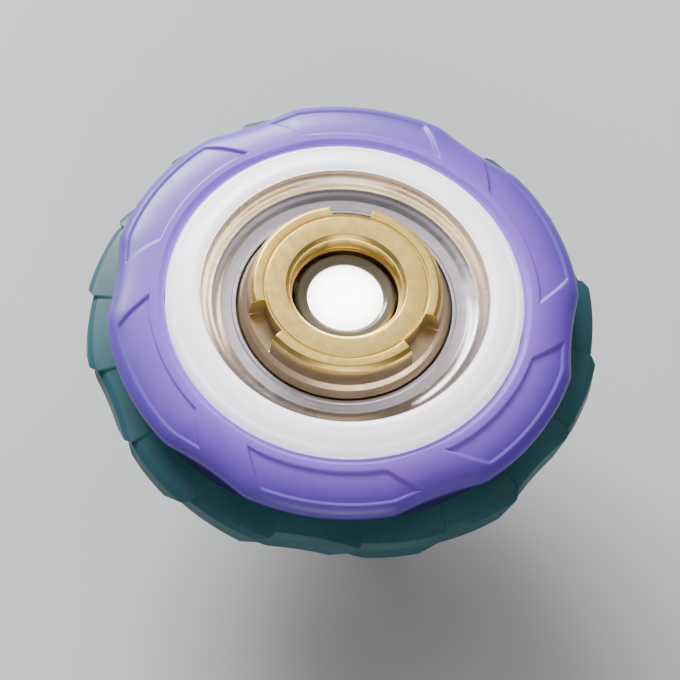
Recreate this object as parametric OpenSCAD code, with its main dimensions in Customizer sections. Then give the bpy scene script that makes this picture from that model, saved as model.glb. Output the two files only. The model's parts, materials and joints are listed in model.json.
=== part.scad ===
// Light-up spinning top.
// A lobed, light-guiding upper layer twists and locks onto a driver that carries the weight disc,
// the lamp capsule with its three button cells, a centrifugal switch and a free-turning tip.
// Millimetres. The spin axis is Z, and the origin is the middle of the tip's flat foot.

/* [Outline] */
// Diameter over the lobes of the lower frame
frame_d = 52.4; // [51:0.2:53]
// Diameter over the lobes of the outer ring
ring_d = 48.2; // [48:0.1:49]
// Diameter of the weight disc
disc_d = 42.8; // [41:0.2:43.4]
// Depth of the scallop between two lobes
scallop_depth = 0.8; // [0.5:0.1:1]
// Radius of each scallop's curve
scallop_r = 34; // [28:1:40]
// Number of lobes
lobes = 6; // [4:2:6]

/* [Driver] */
// Height of the casing's underside above the foot, which the turning tip fills
tip_h = 4.6; // [4.5:0.1:5.2]
// Diameter of the tip's flat foot
foot_d = 6; // [5:0.2:7]
// Diameter of the driver's flange
flange_d = 26.4; // [26:0.1:26.6]
// Bearing bore, outside diameter and width
bearing = [3, 8, 3]; // [1:0.5:9]
// Number of bearing balls
ball_count = 7; // [5:1:8]
// Number of grip flutes round the flange
flutes = 12; // [6:6:18]

/* [Lamp capsule] */
// Diameter of one button cell
cell_d = 7.9; // [7.8:0.05:7.95]
// Thickness of one button cell
cell_h = 3.6; // [3.5:0.05:3.6]
// Diameter of the lens that shows in the middle
lens_d = 7.5; // [7:0.1:8]
// Diameter of the lamp's body
lamp_d = 3; // [2.6:0.1:3.2]

/* [Lock] */
// Twist from locked to free, in degrees
lock_twist = 55; // [50:1:55]
// Drop of the click ring over that twist
click_drop = 1.5; // [1:0.1:1.5]
// Arc of each locking lug, in degrees
lug_arc = 35; // [30:1:35]

/* [Upper layer] */
// Outside diameter of the gold hub
hub_d = 21.6; // [21.2:0.1:21.8]
// Diameter of the hub's pilot bore, for the launcher's nose
pilot_d = 11.4; // [11:0.1:11.6]
// Inside diameter of the lit ring
halo_in_d = 29.6; // [29.4:0.1:29.8]
// Outside diameter of the lit ring
halo_out_d = 36.3; // [35.5:0.1:36.4]
// Height of the hub's top face above its seat
hub_h = 4.7; // [4.5:0.1:5]

/* [Hidden] */
$fn = 72;
gap = 0.05;           // between parts that are seated on each other
wall = 0.8;
thirds = 3;           // lugs, ledges, screws and cams come in threes

frame_r = frame_d / 2;
ring_r = ring_d / 2;
disc_r = disc_d / 2;
flange_r = flange_d / 2;
foot_r = foot_d / 2;
hub_r = hub_d / 2;
pilot_r = pilot_d / 2;
halo_in = halo_in_d / 2;
halo_out = halo_out_d / 2;
lens_r = lens_d / 2;
cell_r = cell_d / 2;

// Bearing
bore_r = bearing[0] / 2;
race_r = bearing[1] / 2;
ball_pitch_r = (bore_r + race_r) / 2;
ball_r = 0.75;
land_in = bore_r + wall;      // outside of the inner race
land_out = race_r - wall;     // inside of the outer race

// Levels, from the foot up
bearing_z = tip_h + wall;
bearing_top = bearing_z + bearing[2];
ball_z = bearing_z + bearing[2] / 2;
chamber_z = bearing_top + 2.2;        // floor of the cell chamber
cell_z = chamber_z + 1.4;
cell_top = cell_z + 3 * cell_h;
board_z = cell_top + 0.3;
board_top = board_z + wall;
boss_top = board_top + 4;
lens_top = boss_top + 1.05;
split_z = cell_z + 0.6;               // joint between the driver's two casings
seat_z = split_z + 2.4;               // top of the flange, under the disc
disc_top = seat_z + 4.95;
layer_z = disc_top + 0.25;            // underside of the frame
web_top = layer_z + 1.2;
blade_top = layer_z + 3.6;
ceiling_z = layer_z + 4.2;
guide_z = ceiling_z + 0.95;
deck_z = guide_z + 0.95;              // seat of the hub and the dish
hub_top = deck_z + hub_h;

// Radii, from the middle out
chamber_r = cell_r + 0.2;
boss_r = 5;
neck_r = boss_r - 0.45;
collar_r = boss_r + 0.1;
spigot_r = boss_r - gap;
click_in = boss_r + 0.2;
click_out = 7.4;
lug_in = click_out + 0.2;
lug_out = 9.4;
hook_out = lug_out + 1.2;
disc_hole = lug_out + 0.4;
ledge_in = lug_out + 0.3;
well_r = hook_out + 0.6;              // inside of the frame's hub
web_r = well_r + 1.4;
base_screw_at = 9.6;
hub_screw_at = 8.5;
hub_screw_angle = 32.5;
ring_screw_at = 20.8;
screw_r = 0.8;

// Lock: hooks hang over ledges, and pegs ride up ramps as the layer twists
hook_z = ceiling_z - 1.8;
hook_top = ceiling_z - 0.4;
ledge_z = hook_z - 1.8;
ledge_top = hook_z - 0.2;
stop_arc = 4;
peg_angle = 10;
peg_arc = 8;
peg_z = ledge_z + 0.55;
ramp_low = peg_z - 0.15;
ramp_lead = 6;                        // ramp before and after the pegs' travel, in degrees
click_z = ramp_low - 2.2;
click_top = click_z + 1.8;

// Centrifugal switch, lying along +Y across the casing joint
switch_z = split_z + 0.1;
switch_in = 5.65;
weight_y = 6;
weight_len = 2;
weight_r = 0.95;
switch_travel = 1.2;
switch_out = 10.5;
channel = [2.3, 5.2, 2.4];

// ---------- shapes ----------

// A turned shape, from radius and height points
module lathe(points) rotate_extrude() polygon(points);

// A plain tube between two heights
module tube(r_in, r_out, z0, z1) lathe([[r_in, z0], [r_out, z0], [r_out, z1], [r_in, z1]]);

// Part of a tube, centred on an angle
module sector(r_in, r_out, z0, z1, mid, arc) rotate([0, 0, mid - arc / 2])
    rotate_extrude(angle = arc) polygon([[r_in, z0], [r_out, z0], [r_out, z1], [r_in, z1]]);

// A round post away from the axis
module post(r, at, z0, z1) translate([at, 0, z0]) cylinder(r = r, h = z1 - z0);

// Copies spaced evenly round the axis
module spaced(count, first = 0) for (i = [0:count - 1]) rotate([0, 0, first + i * 360 / count])
    children();

// The curved cutters that leave lobes on a ring of radius r
module scallops(r, first) spaced(lobes, first)
    post(scallop_r, r - scallop_depth + scallop_r, layer_z - 1, hub_top);

// Wire wound round Z between two heights, from radius r0 to radius r1
module coil(r0, r1, wire, turns, z0, z1, steps = 18, sides = 8) {
    count = turns * steps;
    points = [for (i = [0:count]) let (
            a = i * 360 / steps,
            r = r0 + (r1 - r0) * i / count,
            z = z0 + wire + (z1 - z0 - 2 * wire) * i / count
        ) for (k = [0:sides - 1]) let (b = k * 360 / sides)
            [(r + wire * cos(b)) * cos(a), (r + wire * cos(b)) * sin(a), z + wire * sin(b)]];
    skin = [for (i = [0:count - 1]) for (k = [0:sides - 1]) let (
            next = (k + 1) % sides,
            low = i * sides,
            high = low + sides
        ) each [[low + k, high + k, low + next], [low + next, high + k, high + next]]];
    first_end = [for (k = [0:sides - 1]) k];
    last_end = [for (k = [sides - 1:-1:0]) count * sides + k];
    polyhedron(points, concat(skin, [first_end, last_end]), convexity = 10);
}

// A ramp that climbs round the axis from height z0 to z1 over an arc, standing on base
module ramp(r_in, r_out, base, z0, z1, start, arc, steps = 14) {
    points = [for (i = [0:steps]) let (
            a = start + arc * i / steps,
            z = z0 + (z1 - z0) * i / steps
        ) each [
            [r_in * cos(a), r_in * sin(a), base], [r_out * cos(a), r_out * sin(a), base],
            [r_out * cos(a), r_out * sin(a), z], [r_in * cos(a), r_in * sin(a), z]
        ]];
    skin = [for (i = [0:steps - 1]) for (k = [0:3]) let (
            next = (k + 1) % 4,
            low = i * 4,
            high = low + 4
        ) each [[low + k, low + next, high + k], [low + next, high + next, high + k]]];
    polyhedron(points, concat(skin, [[3, 2, 1, 0], [for (k = [0:3]) steps * 4 + k]]), convexity = 6);
}

// A pan-head screw pointing up, with its cross recess, its head's top at z
module screw(at, head_r, head_h, shank_r, z, length) {
    recess = [1.5, 0.35, 0.4];
    difference() {
        union() {
            post(head_r, at, z - head_h, z);
            post(shank_r, at, z - gap, z + length);
        }
        for (turn = [0, 90]) translate([at, 0, z - head_h]) rotate([0, 0, turn])
            cube([recess[0], recess[1], 2 * recess[2]], center = true);
    }
}

// ---------- turning tip ----------

module tip_foot() color("#b08d3c") {
    neck = 2.1;
    edge = 0.3;
    shoulder = tip_h - 1.3;
    lathe([
        [0, 0], [foot_r - edge, 0], [foot_r, edge], [foot_r, shoulder], [neck, shoulder + 1],
        [neck, bearing_z - gap], [bore_r, bearing_z - gap], [bore_r, tip_h / 2], [0, tip_h / 2]
    ]);
}

clip_z = bearing_top + 0.15;
clip_t = 0.4;
groove_r = bore_r - 0.3;

module tip_shaft() color("silver") {
    end = clip_z + clip_t + 0.45;
    lathe([
        [0, tip_h / 2], [bore_r, tip_h / 2], [bore_r, clip_z], [groove_r, clip_z],
        [groove_r, clip_z + clip_t], [bore_r, clip_z + clip_t], [bore_r, end - 0.2],
        [bore_r - 0.2, end], [0, end]
    ]);
}

module tip_clip() color("dimgray") difference() {
    mouth = 1.8;
    tube(groove_r, land_in - gap, clip_z, clip_z + clip_t);
    translate([0, -mouth / 2, clip_z - 1]) cube([race_r, mouth, 3]);
}

// ---------- bearing ----------

// The track that the balls roll in
module raceway() rotate_extrude() translate([ball_pitch_r, ball_z]) circle(r = ball_r + 0.03);

module bearing_inner_race() color("lightsteelblue") difference() {
    tube(bore_r, land_in, bearing_z, bearing_top);
    raceway();
}

module bearing_outer_race() color("lightsteelblue") difference() {
    tube(land_out, race_r, bearing_z, bearing_top);
    raceway();
}

module balls(r) spaced(ball_count) translate([ball_pitch_r, 0, ball_z]) sphere(r = r);

module bearing_balls() color("whitesmoke") balls(ball_r);

module bearing_cage() color("goldenrod") difference() {
    play = 0.12;
    tube(land_in + play, land_out - play, bearing_z + 0.35, ball_z + 0.3);
    balls(ball_r + gap);
}

// ---------- driver casing ----------

// The channel in which the switch weight slides
module switch_channel() translate([-channel[0] / 2, switch_in - gap, switch_z - channel[2] / 2])
    cube(channel);

// The slot that the contact strip's foot runs through
module strip_slot() translate([-0.7, boss_r - 1, split_z - 0.4]) cube([1.4, switch_in + 1 - boss_r, 0.4]);

module driver_base() color("#2b2d31") {
    lip_r = 2.4;
    pocket_r = 1.7;
    pocket_top = split_z - 1.1;
    difference() {
        lathe([
            [lip_r, tip_h], [race_r + 1.2, tip_h], [race_r + 1.7, tip_h + 0.5],
            [race_r + 2.4, bearing_top - 0.4], [race_r + 4.4, chamber_z - 0.4],
            [flange_r - wall, chamber_z + 0.2], [flange_r, chamber_z + 0.8], [flange_r, split_z],
            [boss_r, split_z], [boss_r, bearing_top], [race_r, bearing_top], [race_r, bearing_z],
            [lip_r, bearing_z]
        ]);
        spaced(thirds, 60) {
            post(screw_r + 0.1, base_screw_at, chamber_z, split_z + 1);
            post(pocket_r, base_screw_at, bearing_top, pocket_top);
        }
        spaced(flutes, 15) post(0.9, flange_r + 0.3, bearing_top, split_z + 1);
        switch_channel();
        strip_slot();
    }
}

module lug() {
    sector(lug_in, lug_out, seat_z - gap, hook_top, 0, lug_arc);
    sector(lug_out - gap, hook_out, seat_z - gap, seat_z + 1.6, 0, lug_arc);
    sector(lug_out - gap, hook_out, hook_z, hook_top, 0, lug_arc);
}

module driver_core() color("#35373c") {
    cavity_r = land_out + 0.1;
    window = [2, 1.8, 2.2];
    strip_groove = [1.4, 0.7, board_z - cell_z + 0.8];
    difference() {
        union() {
            lathe([
                [cavity_r, bearing_top + gap], [spigot_r, bearing_top + gap], [spigot_r, split_z],
                [flange_r, split_z], [flange_r, seat_z - 0.4], [flange_r - 0.4, seat_z],
                [boss_r, seat_z], [boss_r, boss_top - 1.3], [neck_r, boss_top - 1.3],
                [neck_r, boss_top], [chamber_r, boss_top], [chamber_r, chamber_z], [0, chamber_z],
                [0, chamber_z - wall], [cavity_r, chamber_z - wall]
            ]);
            spaced(thirds) lug();
        }
        spaced(thirds, 60) post(screw_r, base_screw_at, split_z - 1, seat_z - 0.5);
        spaced(lobes, 30) translate([chamber_r - 0.5, -window[1] / 2, board_top + 0.4]) cube(window);
        translate([-strip_groove[0] / 2, chamber_r - 0.4, cell_z + 0.2]) cube(strip_groove);
        switch_channel();
        strip_slot();
    }
}

module base_screws() color("silver") spaced(thirds, 60)
    screw(base_screw_at, 1.5, 0.95, screw_r, split_z - 1.15, 2.95);

module weight_disc() color("#8e9196") {
    underside = seat_z + gap;
    rim_z = underside - 0.75;
    web_in = flange_r + 0.4;
    difference() {
        lathe([
            [disc_hole, underside], [web_in, underside], [web_in + 1.6, rim_z], [disc_r - 1, rim_z],
            [disc_r, rim_z + 1], [disc_r, disc_top - 1.5], [disc_r - 1.2, disc_top - 0.35],
            [disc_r - 4.4, disc_top], [disc_hole, disc_top]
        ]);
        spaced(thirds) sector(disc_hole - 1, hook_out + 0.15, rim_z, disc_top + 1, 0, lug_arc + 3);
        spaced(lobes, 30) sector(15.4, 18.4, rim_z - 1, disc_top + 1, 0, 32);
        spaced(2 * lobes, 15) post(1.2, disc_r + 0.5, rim_z - 1, disc_top + 1);
    }
}

// ---------- lamp capsule ----------

module battery_spring() color("gold") coil(3.2, 1.9, 0.2, 3, chamber_z + gap, cell_z - gap);

// One button cell: the can, and the smaller pole on top of it
module battery_cell(index) color("lightgray") translate([0, 0, cell_z + index * cell_h]) {
    edge = 0.25;
    step = 0.6;
    pole = cell_r - 0.85;
    lathe([
        [0, 0], [cell_r - edge, 0], [cell_r, edge], [cell_r, cell_h - step - edge],
        [cell_r - edge, cell_h - step], [pole, cell_h - step], [pole, cell_h], [0, cell_h]
    ]);
}

module battery_sleeve() color("#7fb2d9")
    tube(cell_r + 0.03, chamber_r - 0.03, cell_z - 0.1, cell_top + gap);

module positive_contact() color("gold") {
    blade_t = 0.2;
    tube(0.6, 3, cell_top + gap, cell_top + gap + blade_t);
}

module contact_strip() color("gold") {
    half = 0.6;
    t = 0.2;
    at = chamber_r + 0.02;
    foot_z = split_z - 0.35;
    tab_z = board_z - 0.18;
    translate([-half, at, foot_z]) cube([2 * half, t, tab_z + 0.16 - foot_z]);
    translate([-half, at, foot_z]) cube([2 * half, switch_in - at, t]);
    translate([-half, at - 0.75, tab_z]) cube([2 * half, 0.75 + t, 0.16]);
}

module led_board() color("#1f7a4a") tube(0.4, cell_r + gap, board_z, board_top);

module board_resistor() color("#222222") translate([2.3, -0.8, board_top]) cube([0.8, 1.6, 0.5]);

module led_lamp() color("lightyellow") {
    r = lamp_d / 2;
    dome_z = board_top + 2;
    lathe(concat(
        [[0, board_top], [r + 0.25, board_top], [r + 0.25, board_top + wall], [r, board_top + wall]],
        [for (a = [0:15:90]) [r * cos(a), dome_z + r * sin(a)]]
    ));
}

module centre_lens() color("white") {
    rim = boss_top + gap;
    lathe([
        [0, rim], [neck_r - gap, rim], [neck_r - gap, rim + 0.45], [lens_r, rim + 0.45],
        [lens_r, lens_top - 0.2], [lens_r - 0.4, lens_top - 0.1], [lens_r / 2, lens_top - 0.02],
        [0, lens_top]
    ]);
}

module lens_collar() color("#1c1d20") {
    shelf = boss_top + 0.55;
    lathe([
        [neck_r + gap, boss_top - 1.25], [collar_r, boss_top - 1.25], [collar_r, lens_top - 0.35],
        [collar_r - 0.25, lens_top - gap], [lens_r + gap, lens_top - gap], [lens_r + gap, shelf],
        [neck_r + gap, shelf]
    ]);
}

// ---------- centrifugal switch ----------

// Lays a shape that is made along Z down along +Y, in the middle of the switch channel
module along_y(y) translate([0, y, switch_z]) rotate([-90, 0, 0]) children();

module switch_contacts() color("gold") {
    plate = [2, 0.2, 2.2];
    lift = [-plate[0] / 2, 0, switch_z - plate[2] / 2];
    translate([0, switch_in, 0] + lift) cube(plate);
    translate([0, switch_out, 0] + lift) cube(plate);
    along_y(weight_y + weight_len + switch_travel + 0.1)
        cylinder(r = 0.3, h = switch_out + gap - weight_y - weight_len - switch_travel - 0.1);
}

module switch_spring() color("silver") along_y(0)
    coil(0.7, 0.7, 0.12, 5, weight_y + weight_len + 0.02, switch_out - 0.02, 12, 6);

module switch_weight() color("lightsteelblue") along_y(weight_y) cylinder(r = weight_r, h = weight_len);

// ---------- lock ----------

module click_spring() color("silver") coil(6.3, 6.3, 0.3, 4, seat_z + gap, click_z - gap);

module click_ring() color("#d9d9d2") {
    tab_arc = 80;
    per_degree = click_drop / lock_twist;
    tube(click_in, click_out, click_z, click_top);
    spaced(thirds, 60) sector(click_out - 0.1, lug_out - 0.4, click_z, click_top - 0.6, 0, tab_arc);
    spaced(thirds) ramp(
        click_in + 0.3, click_out - 0.3, click_top - 0.3,
        ramp_low - ramp_lead * per_degree, ramp_low + (lock_twist + ramp_lead) * per_degree,
        peg_angle - ramp_lead, lock_twist + 2 * ramp_lead
    );
}

// ---------- upper layer ----------

module layer_frame() color("#1d6f73") {
    stops = [lug_arc / 2 + 3, lug_arc / 2 + 27];
    rib = [halo_out - web_r + 0.15, 1, guide_z - web_top - gap + 0.2];
    difference() {
        union() {
            difference() {
                lathe([
                    [ring_screw_at - 1.4, layer_z], [frame_r - 0.8, layer_z], [frame_r, layer_z + 0.9],
                    [frame_r, layer_z + 2.4], [frame_r - 0.5, layer_z + 2.9],
                    [frame_r - 2.8, blade_top], [ring_screw_at - 1.4, blade_top]
                ]);
                scallops(frame_r, 30);
            }
            tube(well_r, ring_screw_at - 1.2, layer_z, web_top);
            tube(well_r, web_r, layer_z, guide_z - gap);
            tube(boss_r + 0.4, web_r, ceiling_z, guide_z - gap);
            spaced(thirds) sector(ledge_in, well_r + 0.2, ledge_z, ledge_top, 0, lug_arc);
            for (at = stops) spaced(thirds)
                sector(ledge_in, well_r + 0.2, ledge_z, ceiling_z + 0.1, at, stop_arc);
            spaced(2 * lobes, 15) translate([web_r - 0.2, -rib[1] / 2, web_top - 0.2]) cube(rib);
            spaced(thirds, peg_angle) sector(click_in + 0.5, click_out - 0.5, peg_z, ceiling_z + 0.1,
                                             0, peg_arc);
        }
        spaced(thirds, hub_screw_angle) post(screw_r + 0.15, hub_screw_at, ceiling_z - 1, guide_z + 1);
        spaced(lobes) {
            post(screw_r + 0.05, ring_screw_at, layer_z, blade_top + 1);
            post(1.7, ring_screw_at, layer_z - 1, layer_z + 1.1);
        }
    }
}

module ring_screws() color("silver") spaced(lobes)
    screw(ring_screw_at, 1.5, 0.95, screw_r - 0.1, layer_z + 1.1, 4.9);

// Points of a quarter ellipse about a centre, from its top round to its side
function shoulder_points(at, size) =
    [for (a = [90:-15:0]) [at[0] + size[0] * cos(a), at[1] + size[1] * sin(a)]];

module outer_ring() color("#7a63c0") {
    inside = halo_out + 0.1;
    foot = blade_top + gap;
    skirt = inside + 1.15;
    side_z = blade_top + 2.8;
    lip_z = side_z - 0.55;
    groove = 1.2;
    crown = 1.95;
    hollow_r = ring_r - scallop_depth - 1.1;
    cavity_side = side_z - 0.7;
    difference() {
        union() {
            difference() {
                lathe(concat(
                    shoulder_points([inside, side_z], [ring_r - inside, crown]),
                    [[ring_r - 0.1, lip_z], [ring_r - groove, lip_z - 0.45],
                     [ring_r - groove, foot], [inside, foot]]
                ));
                lathe(concat(
                    shoulder_points([skirt, cavity_side], [hollow_r - skirt, crown - 0.7]),
                    [[hollow_r, foot - 1], [skirt, foot - 1]]
                ));
            }
            spaced(lobes) post(1.5, ring_screw_at, foot, side_z + 0.6);
        }
        scallops(ring_r, 0);
        spaced(lobes) post(screw_r - 0.1, ring_screw_at, foot - 1, side_z + 0.4);
    }
}

module diffuser_ring() color("white") {
    rise = hub_top - 1.2;
    lathe([
        [halo_in, guide_z], [halo_out, guide_z], [halo_out, rise - 1.3], [halo_out - 0.4, rise - 0.85],
        [halo_in + 0.9, rise - 0.08], [halo_in + 0.3, rise], [halo_in, rise - 0.25]
    ]);
}

module light_guide() color("azure") difference() {
    tube(boss_r + 0.4, halo_in - 0.1, guide_z, deck_z - gap);
    spaced(thirds, hub_screw_angle) post(screw_r + 0.2, hub_screw_at, guide_z - 1, deck_z + 1);
}

module reflector_dish() color("gainsboro") {
    floor_z = deck_z + 0.6;
    bowl = [2.75, 2.5];
    edge_r = halo_in - 0.2;
    lathe(concat(
        [[hub_r + 0.2, deck_z], [edge_r + 0.1, deck_z], [edge_r + 0.1, floor_z + bowl[1]]],
        [for (a = [90:-15:0])
            [edge_r - bowl[0] + bowl[0] * sin(a), floor_z + bowl[1] * (1 - cos(a))]],
        [[hub_r + 0.2, floor_z]]
    ));
}

module hub_cap() color("#c9a24b") {
    flare = [
        [hub_r, 0], [hub_r, 0.7], [hub_r - 0.35, 1.5], [hub_r - 0.75, 2.7], [hub_r - 1, 3.7]
    ];
    edge = 0.9;
    pilot_z = lens_top + gap;
    notch_arc = 26;
    difference() {
        lathe(concat(
            [for (p = flare) [p[0], deck_z + p[1]]],
            [for (a = [15:15:90]) [hub_r - 1 - edge * (1 - cos(a)), hub_top - edge * (1 - sin(a))]],
            [[pilot_r + 0.2, hub_top], [pilot_r, hub_top - 0.2], [pilot_r, pilot_z],
             [boss_r + 0.4, pilot_z], [boss_r + 0.4, deck_z]]
        ));
        spaced(thirds, hub_screw_angle) post(screw_r, hub_screw_at, deck_z - 1, deck_z + 3.2);
        spaced(thirds, hub_screw_angle + 60)
            sector(hub_r - 2.4, hub_r + 1, hub_top - 2.6, hub_top + 1, 0, notch_arc);
    }
}

module hub_screws() color("silver") spaced(thirds, hub_screw_angle)
    screw(hub_screw_at, 1.4, 0.95, screw_r, ceiling_z - gap, 4.95);

// ---------- nodes ----------

tip_foot();
tip_shaft();
tip_clip();
bearing_inner_race();
bearing_outer_race();
bearing_balls();
bearing_cage();
driver_base();
driver_core();
base_screws();
weight_disc();
battery_spring();
battery_cell(0);  // battery_cell_1
battery_cell(1);  // battery_cell_2
battery_cell(2);  // battery_cell_3
battery_sleeve();
positive_contact();
contact_strip();
led_board();
board_resistor();
led_lamp();
centre_lens();
lens_collar();
switch_contacts();
switch_spring();
switch_weight();
click_spring();
click_ring();
layer_frame();
ring_screws();
outer_ring();
diffuser_ring();
light_guide();
reflector_dish();
hub_cap();
hub_screws();
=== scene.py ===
"""Light-up spinning top: detailed pieces, materials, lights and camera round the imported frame.

Outlines are in millimetres, as (radius, height) or (radius, height, corner radius) points turned
round Z. Their sizes come from the frame's own boxes. make() scales every mesh to metres.
"""

import json
from math import acos, asin, cos, degrees, inf, pi, radians, sin, sqrt, tan, tau

import bmesh
import bpy
from mathutils import Matrix, Vector


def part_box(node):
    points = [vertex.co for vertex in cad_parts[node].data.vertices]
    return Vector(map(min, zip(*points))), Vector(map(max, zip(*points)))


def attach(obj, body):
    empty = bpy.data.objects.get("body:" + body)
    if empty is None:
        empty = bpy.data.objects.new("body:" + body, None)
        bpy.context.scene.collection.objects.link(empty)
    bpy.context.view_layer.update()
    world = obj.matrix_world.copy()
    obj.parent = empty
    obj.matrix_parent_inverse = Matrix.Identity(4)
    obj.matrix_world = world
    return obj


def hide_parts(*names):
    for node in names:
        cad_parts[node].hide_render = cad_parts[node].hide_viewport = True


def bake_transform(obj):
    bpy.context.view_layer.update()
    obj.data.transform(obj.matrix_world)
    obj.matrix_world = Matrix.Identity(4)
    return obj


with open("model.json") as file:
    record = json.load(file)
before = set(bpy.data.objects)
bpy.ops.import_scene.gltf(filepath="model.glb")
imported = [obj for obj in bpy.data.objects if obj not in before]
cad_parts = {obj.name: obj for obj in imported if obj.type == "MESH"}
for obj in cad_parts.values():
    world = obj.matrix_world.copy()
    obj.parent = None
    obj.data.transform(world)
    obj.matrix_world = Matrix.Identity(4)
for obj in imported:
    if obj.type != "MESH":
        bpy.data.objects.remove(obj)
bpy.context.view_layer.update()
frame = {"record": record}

MM = 0.001
CREASE = radians(38)


# ---------- sizes, from the frame ----------

def bottom(node):
    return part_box(node)[0].z / MM


def top(node):
    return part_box(node)[1].z / MM


def heights(node):
    return bottom(node), top(node)


def half(node, axis=0):
    low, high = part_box(node)
    return (high[axis] - low[axis]) / 2 / MM


def extent(node):
    """Bottom, top and radius."""
    return *heights(node), half(node)


def corners(node):
    return [Vector(corner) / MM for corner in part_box(node)]


LOBES = 6
THIRDS = 3
ring_r = half("outer_ring", 1)
ring_foot, ring_top = heights("outer_ring")
halo_z, halo_top, halo_r = extent("diffuser_ring")
halo_in = half("reflector_dish") + 0.1
frame_z, frame_top, frame_r = extent("layer_frame")
hub_z, hub_top, hub_r = extent("hub_cap")
dish_z = bottom("reflector_dish")
lens_rim_r = half("centre_lens")
disc_z, disc_top, disc_r = extent("weight_disc")
base_z, base_top, base_r = extent("driver_base")
SCALLOP_R = 34
SCALLOP_DEPTH = 0.8
LENS_R = 3.75  # the part of the lens that shows
PILOT_R = 5.7  # the launcher's bore in the hub
BEARING_R = 2.75  # the circle of the balls' centres
# Where screws stand: radius, first angle and count.
RING_SCREWS = 20.8, 0, LOBES
BASE_SCREWS = 9.6, 60, THIRDS
HUB_SCREWS = 8.5, 32.5, THIRDS


# ---------- curves ----------

def blend(low, high, x):
    """0 below low, 1 above high, and a smooth rise between them."""
    t = min(1, max(0, (x - low) / (high - low)))
    return t * t * (3 - 2 * t)


def window(low, high, edge, x):
    """1 between low and high, falling to 0 over the edge outside them."""
    return blend(low - edge, low, x) * (1 - blend(high, high + edge, x))


def off_centre(angle, count, first=0):
    """Degrees from an angle to the nearest of a number of even places round the axis."""
    pitch = 360 / count
    return (angle - first + pitch / 2) % pitch - pitch / 2


def cutter_edge(at, cut_r, angle, count, first):
    """Radius where round cutters at even places, centred at a radius, reach in to."""
    away = radians(off_centre(angle, count, first))
    inside = cut_r ** 2 - (at * sin(away)) ** 2
    return inf if inside <= 0 else at * cos(away) - sqrt(inside)


def scalloped(r, angle, first):
    """Radius of a round outline with a shallow scallop at each of six places."""
    cut = cutter_edge(r - SCALLOP_DEPTH + SCALLOP_R, SCALLOP_R, angle, LOBES, first)
    soft = 0.12
    return (r + cut - sqrt((r - cut) ** 2 + soft ** 2)) / 2 if abs(r - cut) < 3 else r


def rounded(corners, closed=True, steps=5):
    """Outline points, with each corner that states a radius turned into a curve."""
    outline = []
    last = len(corners) - 1
    for i, corner in enumerate(corners):
        here = Vector(corner[:2])
        if len(corner) < 3 or (not closed and i in (0, last)):
            outline.append(here)
            continue
        before = Vector(corners[i - 1][:2]) - here
        after = Vector(corners[(i + 1) % len(corners)][:2]) - here
        reach = corner[2] / tan(before.angle(after) / 2)
        start = here + before.normalized() * min(reach, before.length * 0.49)
        end = here + after.normalized() * min(reach, after.length * 0.49)
        for k in range(steps + 1):
            t = k / steps
            outline.append(start.lerp(here, t).lerp(here.lerp(end, t), t))
    return [tuple(p) for p in outline]


def turns(count, extra=()):
    """Evenly spaced angles in degrees, with any extra ones in order among them."""
    even = {round(i * 360 / count, 4) for i in range(count)}
    return sorted(even | {round(a % 360, 4) for a in extra})


def flanks(first, count, half, edge, steps):
    """Angles through both edges of a feature that repeats round the axis."""
    return [first + 360 / count * i + side * (half + edge * k / steps)
            for i in range(count) for side in (-1, 1) for k in range(steps + 1)]


# ---------- meshes ----------

def linked(name, data):
    """A new object in the scene."""
    obj = bpy.data.objects.new(name, data)
    bpy.context.scene.collection.objects.link(obj)
    return obj


def make(name, verts, faces):
    """An object from points in millimetres, closed, smooth, and creased where it is sharp."""
    mesh = bpy.data.meshes.new(name)
    mesh.from_pydata([Vector(v) * MM for v in verts], [], faces)
    clean(mesh)
    return linked(name, mesh)


def clean(mesh):
    work = bmesh.new()
    work.from_mesh(mesh)
    bmesh.ops.remove_doubles(work, verts=work.verts, dist=2e-7)
    bmesh.ops.dissolve_degenerate(work, edges=work.edges, dist=1e-7)
    bmesh.ops.recalc_face_normals(work, faces=work.faces)
    work.to_mesh(mesh)
    work.free()
    shade(mesh)


def shade(mesh):
    mesh.polygons.foreach_set("use_smooth", [True] * len(mesh.polygons))
    mesh.set_sharp_from_angle(angle=CREASE)
    mesh.update()


def turned(name, outline, closed=True, count=240, extra=()):
    """A turned shape. The outline is a list of points, or gives that list for an angle.
    A point's third value turns it that many degrees further, for swept edges."""
    angles = turns(count, extra)
    shape = outline if callable(outline) else lambda angle: outline
    verts = []
    for angle in angles:
        for p in shape(angle):
            turn = radians(angle + (p[2] if len(p) > 2 else 0))
            verts.append((p[0] * cos(turn), p[0] * sin(turn), p[1]))
    size = len(verts) // len(angles)
    links = size if closed else size - 1
    faces = []
    for i in range(len(angles)):
        here, after = i * size, (i + 1) % len(angles) * size
        faces += [(here + k, after + k, after + (k + 1) % size, here + (k + 1) % size)
                  for k in range(links)]
    return make(name, verts, faces)


def solid(name, corners, count=144):
    """A turned shape whose outline starts and ends on the axis."""
    return turned(name, rounded(corners, closed=False), closed=False, count=count)


def ring(name, corners, count=144):
    """A turned shape whose outline goes all the way round."""
    return turned(name, rounded(corners), count=count)


def washer(name, r_in, r_out, low, high, edge_in, edge_out, count=144):
    """A flat ring with rounded edges."""
    return ring(name, [(r_in, low, edge_in), (r_out, low, edge_out), (r_out, high, edge_out),
                       (r_in, high, edge_in)], count)


def prism(name, plan, low, high, edge=0):
    """A plan outline stood up between two heights, with its sharp edges rounded if edge is set."""
    n = len(plan)
    verts = [(p[0], p[1], z) for z in (low, high) for p in plan]
    faces = [tuple(range(n))[::-1], tuple(range(n, 2 * n))]
    faces += [(k, (k + 1) % n, (k + 1) % n + n, k + n) for k in range(n)]
    made = make(name, verts, faces)
    return soften(made, edge) if edge else made


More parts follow.
